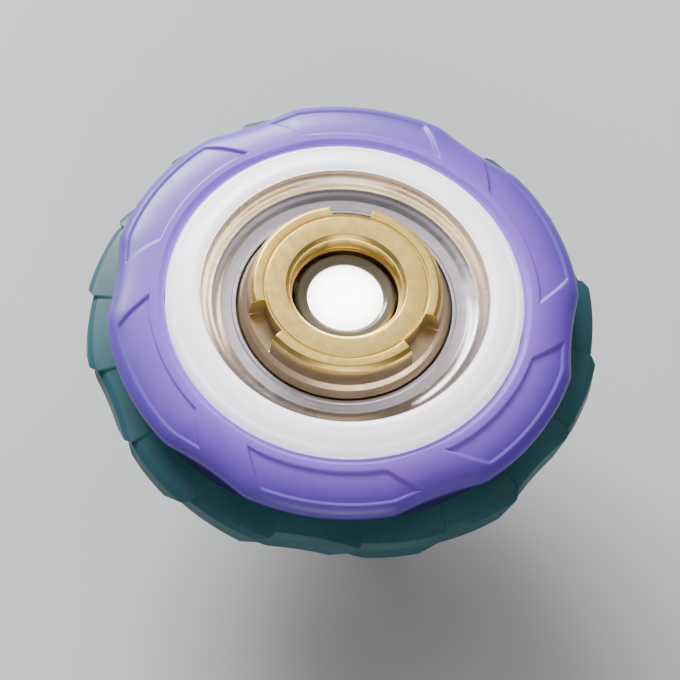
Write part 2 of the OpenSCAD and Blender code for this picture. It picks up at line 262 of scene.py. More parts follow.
def soften(obj, edge, steps=2):
    """Rounds every sharp edge of a mesh."""
    work = bmesh.new()
    work.from_mesh(obj.data)
    sharp = [e for e in work.edges if len(e.link_faces) == 2 and e.calc_face_angle() > CREASE]
    bmesh.ops.bevel(work, geom=sharp, offset=edge * MM, segments=steps, profile=0.6,
                    affect="EDGES", clamp_overlap=True)
    work.to_mesh(obj.data)
    work.free()
    clean(obj.data)
    return obj


def box(name, low, high, edge=0):
    """A block between two corners."""
    plan = [(low[0], low[1]), (high[0], low[1]), (high[0], high[1]), (low[0], high[1])]
    return prism(name, plan, low[2], high[2], edge)


def ball(name, place, r, steps=24):
    """A sphere."""
    points = [(r * sin(pi * k / steps), -r * cos(pi * k / steps)) for k in range(steps + 1)]
    points[-1] = (0, r)
    made = turned(name, points, closed=False, count=2 * steps)
    made.data.transform(Matrix.Translation(Vector(place) * MM))
    return made


def polar(r, angle):
    return r * cos(radians(angle)), r * sin(radians(angle))


def places(at, first, count):
    """Even places round the axis, from an angle on."""
    return [polar(at, first + 360 / count * i) for i in range(count)]


def circle(x, y, r, count):
    return [(x + across, y + along) for across, along in places(r, 0, count)]


def arc_band(r_in, r_out, middle, spread, round_ends=False, step=2):
    """Plan points of a curved band round the axis, with square or round ends."""
    low, high = middle - spread / 2, middle + spread / 2
    count = max(2, int(spread / step))
    sweep = [low + spread * i / count for i in range(count + 1)]
    outer = [polar(r_out, a) for a in sweep]
    inner = [polar(r_in, a) for a in reversed(sweep)]
    if not round_ends:
        return outer + inner
    cap_r, mid_r = (r_out - r_in) / 2, (r_out + r_in) / 2

    def cap(angle, turn):
        centre = Vector(polar(mid_r, angle))
        return [tuple(centre + Vector(polar(cap_r, angle + t)))
                for t in range(turn + 20, turn + 180, 20)]

    return outer + cap(high, 0) + inner + cap(low, 180)


def bores(at, first, count, steps):
    """Stepped holes to cut, from (radius, low, high) steps that stand on each other."""
    points = [(0, steps[0][1])]
    for r, low, high in steps:
        points += [(r, low), (r, high)]
    tools = []
    for x, y in places(at, first, count):
        made = solid("bore", points + [(0, steps[-1][2])], 40)
        made.data.transform(Matrix.Translation(Vector((x, y, 0)) * MM))
        tools.append(made)
    return tools


def posts(at, first, count, r, low, high, sides):
    """Round posts at even places, to cut with or to add."""
    return [prism("post", circle(x, y, r, sides), low, high) for x, y in places(at, first, count)]


def arcs(r_in, r_out, first, spread, low, high, count=THIRDS, edge=0, **ends):
    """Curved blocks at even places, to cut with or to add."""
    return [prism("arc", arc_band(r_in, r_out, first + 360 / count * i, spread, **ends), low, high,
                  edge) for i in range(count)]


def lie_along_y(obj, height):
    """Lays a shape made up the Z axis along Y, at a height."""
    obj.data.transform(Matrix.Translation((0, 0, height * MM)) @ Matrix.Rotation(-pi / 2, 4, "X"))
    return obj


def join(name, parts):
    """One object from several, each left as it is."""
    work = bmesh.new()
    for part in parts:
        mesh = part.data
        mesh.transform(part.matrix_world)
        work.from_mesh(mesh)
        bpy.data.objects.remove(part)
        bpy.data.meshes.remove(mesh)
    mesh = bpy.data.meshes.new(name)
    work.to_mesh(mesh)
    work.free()
    shade(mesh)
    return linked(name, mesh)


def combine(obj, tools, operation):
    """Adds or cuts away the tools' shape, and leaves one closed mesh."""
    tool = join("tool", tools)
    modifier = obj.modifiers.new("combine", "BOOLEAN")
    modifier.operation = operation
    modifier.solver = "EXACT"
    modifier.use_self = operation == "UNION"
    modifier.object = tool
    bpy.context.view_layer.update()
    evaluated = obj.evaluated_get(bpy.context.evaluated_depsgraph_get())
    mesh = bpy.data.meshes.new_from_object(evaluated)
    obj.modifiers.clear()
    old = obj.data
    obj.data = mesh
    mesh.name = obj.name
    bpy.data.meshes.remove(old)
    bpy.data.objects.remove(tool)
    clean(mesh)
    return obj


def cut(obj, tools):
    return combine(obj, tools, "DIFFERENCE")


def fuse(obj, tools):
    return combine(obj, tools, "UNION")


# ---------- materials ----------

class Material:
    """A procedural material built round one shader, in the frame's own coordinates."""

    def __init__(self, name, **shader):
        self.made = bpy.data.materials.new(name)
        self.made.use_nodes = True
        self.tree = self.made.node_tree
        self.shader = self.tree.nodes["Principled BSDF"]
        self.place = self.node("TexCoord").outputs["Object"]
        self.bumps = None
        for key, value in shader.items():
            self.shader.inputs[key.replace("_", " ")].default_value = value

    def node(self, kind, **settings):
        made = self.tree.nodes.new("ShaderNode" + kind)
        for key, value in settings.items():
            setattr(made, key, value)
        return made

    def link(self, source, target):
        self.tree.links.new(source, target)

    def feed(self, node, values):
        for key, value in values.items():
            socket = node.inputs[key]
            if isinstance(value, bpy.types.NodeSocket):
                self.link(value, socket)
            else:
                socket.default_value = value
        return node

    def math(self, operation, a, b=0.0):
        return self.feed(self.node("Math", operation=operation), {0: a, 1: b}).outputs[0]

    def parts(self):
        split = self.feed(self.node("SeparateXYZ"), {0: self.place})
        return split.outputs

    def radius(self):
        """Distance from the spin axis, in metres."""
        x, y, _ = self.parts()
        return self.math("SQRT", self.math("ADD", self.math("MULTIPLY", x, x),
                                           self.math("MULTIPLY", y, y)))

    def band(self, low, high):
        """1 between two radii and 0 elsewhere."""
        inside = self.math("GREATER_THAN", self.radius(), low)
        return self.math("MULTIPLY", inside, self.math("LESS_THAN", self.radius(), high))

    def height(self):
        return self.parts()[2]

    def noise(self, scale, detail=3.0, place=None, roughness=0.5):
        made = self.node("TexNoise")
        self.feed(made, {"Vector": place or self.place, "Scale": scale, "Detail": detail,
                         "Roughness": roughness})
        return made.outputs[0]

    def rings(self, scale):
        """Fine noise that changes with radius and height only, as turning marks do."""
        joined = self.feed(self.node("CombineXYZ"), {0: self.radius(), 2: self.height()})
        return self.noise(scale, 4.0, joined.outputs[0], 0.7)

    def ranged(self, value, low, high, to_low, to_high, smooth=False):
        made = self.node("MapRange", interpolation_type="SMOOTHSTEP" if smooth else "LINEAR")
        self.feed(made, {"Value": value, "From Min": low, "From Max": high,
                         "To Min": to_low, "To Max": to_high})
        return made.outputs[0]

    def ramp(self, value, stops):
        made = self.node("ValToRGB")
        elements = made.color_ramp.elements
        while len(elements) < len(stops):
            elements.new(0.5)
        for element, (position, colour) in zip(elements, stops):
            element.position = position
            element.color = (*colour, 1)
        self.link(value, made.inputs[0])
        return made.outputs[0]

    def drift(self, scale, detail, dark, light, edge=0.3):
        """A colour that wanders between two."""
        return self.ramp(self.noise(scale, detail), [(edge, dark), (1 - edge, light)])

    def mix(self, share, a, b):
        made = self.node("Mix", data_type="RGBA")
        sockets = {0: share, 6: a, 7: b}
        for index, value in sockets.items():
            if isinstance(value, bpy.types.NodeSocket):
                self.link(value, made.inputs[index])
            else:
                made.inputs[index].default_value = value if index == 0 else (*value, 1)
        return made.outputs[2]

    def colour(self, output):
        self.link(output, self.shader.inputs["Base Color"])

    def rough(self, low, high, scale=600):
        self.link(self.ranged(self.noise(scale), 0.3, 0.7, low, high), self.shader.inputs["Roughness"])

    def skin(self, flow=300, depth=0.000006):
        """Relief of a moulding: a fine skin and faint flow marks."""
        self.bump(self.noise(2400, 2), depth, 0.3)
        self.bump(self.noise(flow, 2), 0.00003, 0.2)

    def glow(self, colour, strength):
        self.feed(self.shader, {"Emission Color": (*colour, 1), "Emission Strength": strength})

    def bump(self, value, depth, strength=1.0):
        """Adds relief of a depth in metres."""
        made = self.node("Bump")
        self.feed(made, {"Height": value, "Distance": depth, "Strength": strength})
        if self.bumps:
            self.link(self.bumps, made.inputs["Normal"])
        self.bumps = made.outputs[0]
        self.link(self.bumps, self.shader.inputs["Normal"])


def moulded(name, light, dark, roughness=(0.3, 0.42), **shader):
    """Moulded plastic: faint flow marks, a fine skin and small changes of gloss."""
    m = Material(name, **shader)
    m.colour(m.drift(180, 4, dark, light))
    m.rough(*roughness)
    m.skin()
    return m


def metal(name, light, dark, roughness=(0.2, 0.34), marks=0.000004, cast=0.0, **shader):
    """Metal with turning marks and a cast skin of given depths, and tone that drifts a little."""
    m = Material(name, Metallic=1.0, **shader)
    m.colour(m.drift(260, 5, dark, light, 0.32))
    m.rough(*roughness, scale=900)
    if marks:
        m.bump(m.rings(5200), marks, 0.6)
    if cast:
        m.bump(m.noise(2600, 4), cast, 0.5)
    return m


def violet_plastic():
    """Translucent violet, with painted light: pale and milky over the inner edge beside the lit ring,
    with a faint painted glow there; and painted shade, indigo towards the foot.
    """
    m = Material("violet_plastic", Roughness=0.3, IOR=1.5, Coat_Weight=0.12, Coat_Roughness=0.2,
                 Subsurface_Weight=0.25, Subsurface_Scale=0.0016,
                 Subsurface_Radius=(0.8, 0.6, 1.0))
    drift = m.math("MULTIPLY", m.noise(140, 3), 0.0012)
    # Painted light and shade: paler over the inner edge beside the lit ring, darker towards the outer
    # edge.
    across = m.ramp(
        m.ranged(m.math("ADD", m.radius(), drift), halo_r * MM, ring_r * MM, 0, 1),
        [(0.0, (0.29, 0.13, 0.76)), (0.25, (0.26, 0.1, 0.72)), (0.6, (0.2, 0.075, 0.6)),
         (1.0, (0.11, 0.055, 0.44))])
    # Painted shade: the ring's side darkens to indigo towards its foot.
    depth = m.ranged(m.height(), (ring_foot + 1.9) * MM, (ring_foot + 3.6) * MM, 0, 1, True)
    m.colour(m.mix(depth, (0.02, 0.014, 0.09), across))
    m.rough(0.34, 0.44, 700)
    m.skin(260, 0.000005)
    # A faint painted glow along the inner edge, beside the lit ring.
    m.glow((0.5, 0.4, 1), m.ranged(m.radius(), halo_r * MM, (halo_r + 2.4) * MM, 0.1, 0, True))
    return m


def teal_plastic():
    """Teal, a little translucent, with painted shade: darker towards its underside."""
    m = Material("teal_plastic", IOR=1.5, Specular_IOR_Level=0.3)
    # Painted shade: darker low on the frame, towards its underside.
    up = m.ranged(m.height(), (frame_z + 0.2) * MM, (frame_z + 3.6) * MM, 0, 1, True)
    tone = m.drift(160, 4, (0.022, 0.088, 0.11), (0.029, 0.112, 0.138))
    m.colour(m.mix(up, (0.017, 0.07, 0.088), tone))
    m.rough(0.36, 0.48, 700)
    m.skin()
    return m


def milky_plastic():
    """The lit ring: milky, with a soft glow that is stronger where the guide feeds it."""
    m = Material("milky_plastic", IOR=1.49, Subsurface_Weight=0.35, Subsurface_Scale=0.002,
                 Coat_Weight=0.2, Coat_Roughness=0.2)
    m.colour(m.drift(200, 3, (0.82, 0.79, 0.86), (0.9, 0.88, 0.93)))
    m.rough(0.28, 0.42, 600)
    m.bump(m.noise(2400, 2), 0.000005, 0.3)
    m.glow((0.95, 0.93, 1), m.ranged(m.radius(), halo_in * MM, halo_r * MM, 2, 1.1))
    return m


def hub_gold():
    """Satin gold with fine turning marks, and painted shade: a browner outer wall under the rim."""
    m = Material("hub_gold", Metallic=1.0)
    tone = m.drift(240, 4, (0.84, 0.58, 0.16), (0.9, 0.64, 0.19))
    # Painted shade: the outer wall below the rim turns browner; the bore stays gold.
    wall = m.ranged(m.height(), (hub_top - 1.9) * MM, (hub_top - 0.3) * MM, 0, 1, True)
    bore_wall = m.math("LESS_THAN", m.radius(), (PILOT_R + 0.8) * MM)
    m.colour(m.mix(m.math("MAXIMUM", wall, bore_wall), (0.54, 0.41, 0.24), tone))
    m.rough(0.28, 0.4, 900)
    m.bump(m.rings(5200), 0.000006, 0.55)
    m.bump(m.noise(2400, 3), 0.000005, 0.25)
    return m


def lens_white():
    """The lens, lit from behind: white right to its edge."""
    m = Material("lens_white", Roughness=0.2, Coat_Weight=0.4)
    m.colour(m.drift(300, 2, (0.93, 0.94, 0.95), (0.98, 0.98, 0.98)))
    m.bump(m.noise(2600, 2), 0.00002, 0.3)
    m.glow((1, 0.995, 0.98), m.ranged(m.radius(), 0.002, 0.0042, 9, 5, True))
    return m


def clear_plastic(name, tint, **shader):
    """Clear moulded plastic, faintly tinted."""
    m = Material(name, IOR=1.49, Transmission_Weight=0.85, **shader)
    m.colour(m.drift(220, 3, tuple(c * 0.94 for c in tint), tint))
    m.rough(0.05, 0.14)
    m.bump(m.noise(1800, 2), 0.00001, 0.25)
    return m


def board_laminate():
    """Green circuit board with a fine glass weave, and plated rings at its rim and middle."""
    m = Material("board_laminate", Coat_Weight=0.3)
    weave = m.node("TexChecker")
    m.feed(weave, {"Vector": m.place, "Scale": 3000.0})
    green = m.mix(m.math("MULTIPLY", weave.outputs[1], 0.25), (0.02, 0.16, 0.07), (0.03, 0.24, 0.11))
    plated = m.math("MAXIMUM", m.band(0.00345, 0.0037), m.band(0.0019, 0.00215))
    m.colour(m.mix(plated, green, (0.75, 0.55, 0.26)))
    m.link(plated, m.shader.inputs["Metallic"])
    m.rough(0.3, 0.45)
    m.bump(weave.outputs[1], 0.00001, 0.4)
    m.bump(plated, 0.00002)
    return m


def chip_black():
    """A black chip between two plated ends."""
    m = Material("chip_black")
    ends = m.ranged(m.math("ABSOLUTE", m.parts()[1]), 0.00046, 0.00049, 0, 1)
    body = m.drift(900, 3, (0.016, 0.016, 0.018), (0.03, 0.03, 0.032))
    m.colour(m.mix(ends, body, (0.7, 0.69, 0.66)))
    m.link(ends, m.shader.inputs["Metallic"])
    m.rough(0.35, 0.5)
    m.bump(m.noise(3000, 3), 0.00001, 0.4)
    return m


MATERIALS = {
    **{made.__name__: made() for made in (violet_plastic, teal_plastic, milky_plastic, hub_gold,
                                          lens_white, board_laminate, chip_black)},
    "clear_plastic": clear_plastic("clear_plastic", (0.93, 0.95, 0.98)),
    "sleeve_film": clear_plastic("sleeve_film", (0.35, 0.55, 0.85)),
    "lamp_epoxy": clear_plastic("lamp_epoxy", (0.98, 0.96, 0.86), Emission_Color=(1, 0.98, 0.9, 1),
                                Emission_Strength=0.8),
    "collar_black": moulded("collar_black", (0.15, 0.128, 0.084), (0.12, 0.102, 0.067), (0.2, 0.3),
                            Coat_Weight=0.5),
}
for slot, *look in (
        ("charcoal_plastic", (0.032, 0.033, 0.039), (0.026, 0.027, 0.032), (0.34, 0.48)),
        ("core_plastic", (0.047, 0.048, 0.056), (0.04, 0.041, 0.048), (0.38, 0.48)),
        ("cage_nylon", (0.5, 0.3, 0.11), (0.42, 0.24, 0.08)),
        ("acetal", (0.82, 0.8, 0.74), (0.74, 0.72, 0.66), (0.34, 0.48))):
    MATERIALS[slot] = moulded(slot, *look)
for slot, *look in (
        ("reflector_chrome", (0.74, 0.69, 0.73), (0.66, 0.61, 0.66), (0.27, 0.35), 0),
        ("disc_metal", (0.33, 0.33, 0.35), (0.26, 0.26, 0.28), (0.26, 0.38), 0, 0.000008),
        ("tip_brass", (0.74, 0.55, 0.27), (0.62, 0.44, 0.2), (0.22, 0.36)),
        ("steel", (0.62, 0.62, 0.64), (0.5, 0.5, 0.53), (0.24, 0.38), 0, 0.000006),
        ("bearing_steel", (0.74, 0.75, 0.77), (0.66, 0.67, 0.7), (0.08, 0.16)),
        ("cell_can", (0.72, 0.71, 0.7), (0.62, 0.62, 0.61), (0.18, 0.3)),
        ("contact_metal", (0.8, 0.6, 0.32), (0.68, 0.48, 0.24), (0.2, 0.34), 0, 0.000005)):
    MATERIALS[slot] = metal(slot, *look)

SLOT_OF = {row["node"]: row["material_slot"] for row in frame["record"]["subparts"]}
BODY_OF = {node: body for body, nodes in frame["record"]["behaviour"]["bodies"].items()
           for node in nodes}


def finished(obj):
    """Makes a piece stand for the CAD node that its name starts with, in that node's material."""
    node = next(node for node in SLOT_OF if obj.name.startswith(node + "_"))
    obj.data.materials.clear()
    obj.data.materials.append(MATERIALS[SLOT_OF[node]].made)
    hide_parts(node)
    return node


def placed(obj):
    """The same, for a piece that moves whole with its body."""
    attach(obj, BODY_OF[finished(obj)])


# ---------- upper layer ----------

def ring_shell():
    """The lobed violet shell, with a channel round its inner edge and six swept panels."""
    inner = halo_r + 0.1
    side_z = ring_foot + 2.75
    crown = ring_top - side_z
    skirt = inner + 1.15
    recess, sweep, sink = 1.2, 15, 0.24
    panel_at, panel_half, panel_edge = 23, 20, 1.1
    panel_in, panel_out, step = 0.3, 0.82, 0.03
    edges = (panel_in - step, panel_in, panel_out, panel_out + step)
    rows = sorted({82 - 2 * k for k in range(42)} | {degrees(acos(u)) for u in edges}, reverse=True)

    def outline(angle):
        side = window(-panel_half, panel_half, panel_edge, off_centre(angle, LOBES, panel_at))
        points = [(inner, ring_top - 0.42, 0), (inner + 0.1, ring_top - 0.32, 0),
                  (inner + 0.42, ring_top - 0.3, 0), (inner + 0.5, ring_top - 0.25, 0)]
        for row in rows:
            across, up = cos(radians(row)), sin(radians(row))
            r = scalloped(ring_r, angle + sweep * across, 0)
            depth = sink * side * window(panel_in, panel_out, step, across)
            points.append((inner + (r - inner) * across - depth * across,
                           side_z + crown * up - depth * up, sweep * across))
        wall_r = ring_r - recess
        r = scalloped(ring_r, angle + sweep, 0)
        below = rounded([(r, side_z - 0.06), (r - 0.1, side_z - 0.55, 0.2),
                         (wall_r, side_z - 1, 0.2), (wall_r, ring_foot, 0.12),
                         (wall_r - 0.75, ring_foot, 0.12), (wall_r - 0.75, side_z - 0.7, 0.4),
                         (wall_r - 1.5, side_z + 0.1, 0.5), (skirt + 0.5, ring_top - 1.5, 0.4),
                         (skirt, ring_top - 2, 0.3), (skirt, ring_foot, 0.12),
                         (inner, ring_foot, 0.12), (inner, ring_foot + 0.5)], closed=False, steps=4)
        return points + [(*p, sweep) for p in below[:-6]] + [(*p, 0) for p in below[-6:]]

    extra = flanks(panel_at, LOBES, panel_half, panel_edge, 4)
    shell = turned("outer_ring_shell", outline, count=300, extra=extra)
    fuse(shell, posts(*RING_SCREWS, 1.5, ring_foot, side_z + 0.7, 40))
    steps = [(0.9, ring_foot - 1, ring_foot + 0.25), (0.7, ring_foot + 0.25, side_z + 0.4)]
    placed(cut(shell, bores(*RING_SCREWS, steps)))


def lit_ring():
    """The milky ring, domed, with a fine step outside and in."""
    outline = rounded([
        (halo_in, halo_z, 0.1), (halo_r, halo_z, 0.1), (halo_r, halo_top - 1.35, 0.2),
        (halo_r - 0.3, halo_top - 0.98, 0.2), (halo_r - 0.62, halo_top - 0.86, 0.08),
        (halo_r - 0.7, halo_top - 0.94, 0.06), (halo_r - 0.84, halo_top - 0.9, 0.06),
        (halo_r - 0.9, halo_top - 0.74, 0.08), (halo_r - 1.7, halo_top - 0.3, 0.8),
        (halo_in + 0.7, halo_top, 0.35), (halo_in + 0.25, halo_top - 0.06, 0.15),
        (halo_in, halo_top - 0.35, 0.2)], steps=6)
    placed(turned("diffuser_ring_moulded", outline))


def bowl():
    """The chrome dish, with concentric ripples up its wall and a bead at its foot."""
    edge = halo_in - 0.1
    start = hub_r + 0.2
    floor_z = dish_z + 0.6
    deep, rise = 2.75, top("reflector_dish") - dish_z - 0.6
    points = [(start, dish_z, 0.05), (edge, dish_z, 0.05), (edge, floor_z + rise, 0.08)]
    steps = 60
    for k in range(1, steps + 1):
        a = radians(90 * (1 - k / steps))
        ripple = 0.04 * sin(k / steps * 3 * tau) * window(0.14, 0.84, 0.1, k / steps)
        points.append((edge - deep + (deep - ripple) * sin(a) - 0.04,
                       floor_z + rise * (1 - cos(a)) + ripple))
    points += [(start + 0.45, floor_z), (start + 0.32, floor_z + 0.13, 0.1),
               (start, floor_z + 0.13, 0.05)]
    placed(ring("reflector_dish_plated", points, 240))


def hub():
    """The gold hub: a flared wall, a stepped flat top, the pilot bore and three launcher notches."""
    lower_r = 5.4
    pilot_z = top("centre_lens") + 0.05
    notch_r, notch_z = hub_r - 2.4, hub_top - 2.6
    notch_half, notch_edge, notch_at = 13, 0.9, 92.5
    skin = rounded([
        (lower_r, hub_z), (hub_r, hub_z, 0.08), (hub_r, hub_z + 0.75, 0.3),
        (hub_r - 0.42, hub_z + 1.6, 0.3), (hub_r - 0.8, notch_z - 0.03, 0.02),
        (hub_r - 0.82, notch_z + 0.03, 0.02),
        (hub_r - 1, hub_top - 0.95, 0.3), (hub_r - 1.12, hub_top - 0.35, 0.22),
        (hub_r - 1.55, hub_top, 0.2), (hub_r - 2.35, hub_top, 0.05),
        (hub_r - 2.42, hub_top - 0.14, 0.05), (hub_r - 2.62, hub_top - 0.14, 0.05),
        (hub_r - 2.69, hub_top, 0.05),
        (PILOT_R + 0.42, hub_top, 0.12), (PILOT_R, hub_top - 0.36, 0.12), (PILOT_R, pilot_z, 0.05),
        (lower_r, pilot_z, 0.05), (lower_r, hub_z + 1)], steps=4)

    def outline(angle):
        cut = 1 - blend(notch_half, notch_half + notch_edge, abs(off_centre(angle, THIRDS, notch_at)))
        return [(r - cut * max(0, r - notch_r) * (z > notch_z), z) for r, z in skin]

    extra = flanks(notch_at, THIRDS, notch_half, notch_edge, 6)
    made = turned("hub_cap_turned", outline, count=180, extra=extra)
    pilots = posts(*HUB_SCREWS, 0.8, hub_z - 1, hub_z + 3.2, 24)
    placed(cut(made, pilots))


def lower_frame():
    """The teal frame: toothed rim, web, hub and ceiling, with its ledges, stops, pegs and ribs."""
    blade_top = ring_foot - 0.05
    web_top = frame_z + 1.2
    ceiling_z = frame_z + 4.2
    rim_in, well_r, web_r, eye_r = 19.4, 11.2, 12.6, 5.4
    teeth, tooth_depth, lean = 3 * LOBES, 0.7, 3.5
    pitch, rise = 360 / teeth, 0.8

    def outline(angle):
        past = (angle + pitch / 2) % pitch
        notch = tooth_depth * (1 - past / pitch) * blend(0, rise, past)
        outside = rounded([
            (rim_in + 0.5, frame_z), (frame_r - 1.2, frame_z, 0.2),
            (frame_r - 0.05, frame_z + 0.9, 0.3),
            (frame_r, frame_z + 2.4, 0.2), (frame_r - 0.5, frame_z + 2.85, 0.3),
            (frame_r - 3.1, blade_top - 0.12, 0.2), (frame_r - 3.5, blade_top, 0.1),
            (rim_in + 0.5, blade_top)], closed=False, steps=4)
        edge = []
        for r, z in outside:
            twist = lean * (z - frame_z) * blend(rim_in, frame_r - 2, r)
            share = blend(frame_r - 2.6, frame_r - 0.7, r)
            lobed = scalloped(frame_r, angle + twist, 30) - frame_r
            edge.append((r + lobed * blend(frame_r - 3.4, frame_r - 1, r) - notch * share, z, twist))
        inside = rounded([
            (rim_in, frame_z + 2), (rim_in, web_top, 0.3), (web_r, web_top, 0.3),
            (web_r, frame_top, 0.12), (eye_r, frame_top, 0.12), (eye_r, ceiling_z, 0.12),
            (well_r, ceiling_z, 0.12), (well_r, frame_z, 0.15), (well_r + 1, frame_z)],
            closed=False, steps=4)
        return edge + [(rim_in + 0.12, blade_top), (rim_in, blade_top - 0.12)] + inside

    extra = [pitch * (tooth + 0.5) + rise * k / 5 for tooth in range(teeth) for k in range(-1, 6)]
    body = turned("layer_frame_moulded", outline, count=288, extra=extra)
    ledge_z = frame_z + 0.6
    added = arcs(9.7, well_r + 0.2, 0, 35, ledge_z, ledge_z + 1.6)
    for stop in (20.5, 44.5):
        added += arcs(9.7, well_r + 0.2, stop, 4, ledge_z, ceiling_z + 0.1)
    added += arcs(5.7, 6.9, 10, 8, frame_z + 1.15, ceiling_z + 0.1)
    for x, y in places(1, 15, 2 * LOBES):
        rib = [(r * x - w * y, r * y + w * x)
               for r, w in ((12.4, -0.5), (17.6, -0.4), (17.6, 0.4), (12.4, 0.5))]
        added.append(prism("rib", rib, web_top - 0.2, frame_top - 0.05))
    fuse(body, added)
    pocket = [(1.7, frame_z - 1, frame_z + 1.1), (0.85, frame_z + 1.1, blade_top + 1)]
    cuts = bores(*RING_SCREWS, pocket)
    cuts += bores(*HUB_SCREWS, [(0.95, ceiling_z - 1, frame_top + 1)])
    placed(cut(body, cuts))


# ---------- driver ----------

def weight():
    """The cast disc: forged pads on its underside, six slots, rim notches and three lug gaps."""
    hole = 9.8
    seat = disc_z + 0.75
    relief = 0.32

    def outline(angle):
        r = min(disc_r, cutter_edge(21.85, 1.2, angle, 2 * LOBES, 15))
        inset = relief * (1 - window(-11.5, 11.5, 1.6, off_centre(angle, LOBES)))
        return rounded([
            (hole, seat, 0.1), (13.6, seat, 0.3), (15.1, disc_z + inset, 0.3),
            (r - 1.2, disc_z + inset, 0.25), (r - 0.15, disc_z + 0.95, 0.3), (r, disc_z + 1.6, 0.2),
            (r, disc_top - 1.6, 0.3), (r - 1.2, disc_top - 0.35, 0.3), (disc_r - 4.4, disc_top, 0.3),
            (hole, disc_top, 0.1)], steps=4)

    disc = turned("weight_disc_cast", outline, count=480)
    slots = arcs(15.4, 18.4, 30, 26, disc_z - 1, disc_top + 1, LOBES, round_ends=True)
    gaps = arcs(8.8, 10.75, 0, 38, disc_z - 1, disc_top + 1)
    placed(cut(disc, slots + gaps))


def casing():
    """The driver's lower casing: fluted flange, flared neck, screw pockets and switch channel."""
    lip_r, race_r, spigot_r = 2.4, 4, 5
    race_z, race_top = base_z + 0.8, base_z + 3.8
    skin = rounded([
        (lip_r, base_z, 0.1), (4.3, base_z, 0.08), (4.42, base_z + 0.12, 0.06),
        (4.62, base_z + 0.12, 0.06), (4.74, base_z, 0.08), (5.25, base_z, 0.3),
        (5.75, base_z + 0.7, 0.4), (6.4, race_top - 0.3, 0.8),
        (8.4, base_z + 5.6, 0.9), (12.3, base_z + 6.2, 0.4), (base_r, base_z + 6.9, 0.35),
        (base_r, base_top, 0.1), (spigot_r, base_top, 0.05), (spigot_r, race_top, 0.05),
        (race_r, race_top, 0.05), (race_r, race_z, 0.05), (lip_r, race_z, 0.1)], steps=5)

    def outline(angle):
        limit = max(12.55, min(base_r, cutter_edge(13.5, 0.9, angle, 2 * LOBES, 15)))
        return [(min(r, limit) if r > 12.5 else r, z) for r, z in skin]

    made = turned("driver_base_moulded", outline, count=360)
    pocket = [(1.7, base_top - 6, base_top - 1.1), (0.9, base_top - 1.1, base_top + 1)]
    cuts = bores(*BASE_SCREWS, pocket)
    cut(made, cuts + [channel_tool()])
    slot = box("strip_slot", (-0.7, 4, base_top - 0.4), (0.7, 5.7, base_top + 1))
    placed(cut(made, [slot]))


def lens():
    """The lens: a rim under the collar and a low dome with a fine ring moulded in it."""
    rim, face = heights("centre_lens")
    placed(solid("centre_lens_moulded", [
        (0, rim), (lens_rim_r, rim, 0.05), (lens_rim_r, rim + 0.45, 0.05), (LENS_R, rim + 0.45, 0.02),
        (LENS_R, face - 0.28, 0.12), (LENS_R - 0.6, face - 0.12, 0.3), (2.6, face - 0.05, 0.1),
        (2.5, face - 0.09, 0.05), (2.4, face - 0.04, 0.05), (1.2, face - 0.005, 0.4), (0, face)]))


def collar():
    """The glossy dark ring round the lens, with a bevelled eye."""
    low, high, out = extent("lens_collar")
    placed(ring("lens_collar_moulded", [
        (lens_rim_r + 0.1, low, 0.05), (out, low, 0.1), (out, high - 0.3, 0.2),
        (out - 0.3, high, 0.15), (LENS_R + 0.5, high, 0.1), (LENS_R + 0.08, high - 0.22, 0.1),
        (LENS_R + 0.05, high - 0.45, 0.03), (lens_rim_r + 0.1, high - 0.45, 0.03)], 160))


def core():
    """The upper casing: flange, cell chamber, light tube with six windows, and three lugs."""
    seat, tube_top = base_top + 2.4, bottom("centre_lens") - 0.05
    foot_z, floor_z = bottom("driver_core"), base_top - 2
    skirt_r, spigot_r, tube_r, neck_r, bore_r = 3.3, 4.95, 5, 4.55, 4.15
    rim_r = base_r
    body = ring("driver_core_moulded", [
        (skirt_r, foot_z, 0.08), (spigot_r, foot_z, 0.1),
        (spigot_r, base_top, 0.03), (rim_r, base_top, 0.1), (rim_r, base_top + 0.9, 0.06),
        (rim_r - 0.16, base_top + 1.05, 0.05), (rim_r - 0.16, base_top + 1.25, 0.05),
        (rim_r, base_top + 1.4, 0.06), (rim_r, seat - 0.35, 0.2), (rim_r - 0.4, seat, 0.15),
        (tube_r, seat, 0.04), (tube_r, tube_top - 1.3, 0.08), (neck_r, tube_top - 1.3, 0.05),
        (neck_r, tube_top, 0.08), (bore_r, tube_top, 0.08), (bore_r, floor_z, 0.2), (0, floor_z),
        (0, floor_z - 0.8), (skirt_r, floor_z - 0.8, 0.15)], 180)
    lug_in, lug_out, hook_out, lug_top = 7.6, 9.4, 10.6, top("driver_core") - 3.9
    lugs = arcs(lug_in, lug_out, 0, 35, seat - 0.3, lug_top, edge=0.12)
    for low, high in ((seat - 0.3, seat + 1.6), (lug_top - 1.4, lug_top)):
        lugs += arcs(lug_out - 0.3, hook_out, 0, 35, low, high, edge=0.12)
    fuse(body, lugs)
    cuts = [channel_tool(), box("groove", (-0.7, 3.75, base_top - 0.4), (0.7, 4.45, base_top + 11.5))]
    cuts += bores(*BASE_SCREWS, [(0.8, base_top - 1, seat - 0.5)])
    for lobe in range(LOBES):
        tool = box("window", (3.65, -0.9, tube_top - 3.6), (5.65, 0.9, tube_top - 1.4), 0.2)
        tool.data.transform(Matrix.Rotation(radians(30 + 60 * lobe), 4, "Z"))
        cuts.append(tool)
    cut(body, cuts)
    slot = box("strip_slot", (-0.7, 4.2, base_top - 0.4), (0.7, 5.7, base_top))
    placed(cut(body, [slot]))


def channel_tool():
    """The switch channel, which is cut half from each casing."""
    return box("channel", (-1.15, 5.6, base_top - 1.1), (1.15, 10.8, base_top + 1.3))


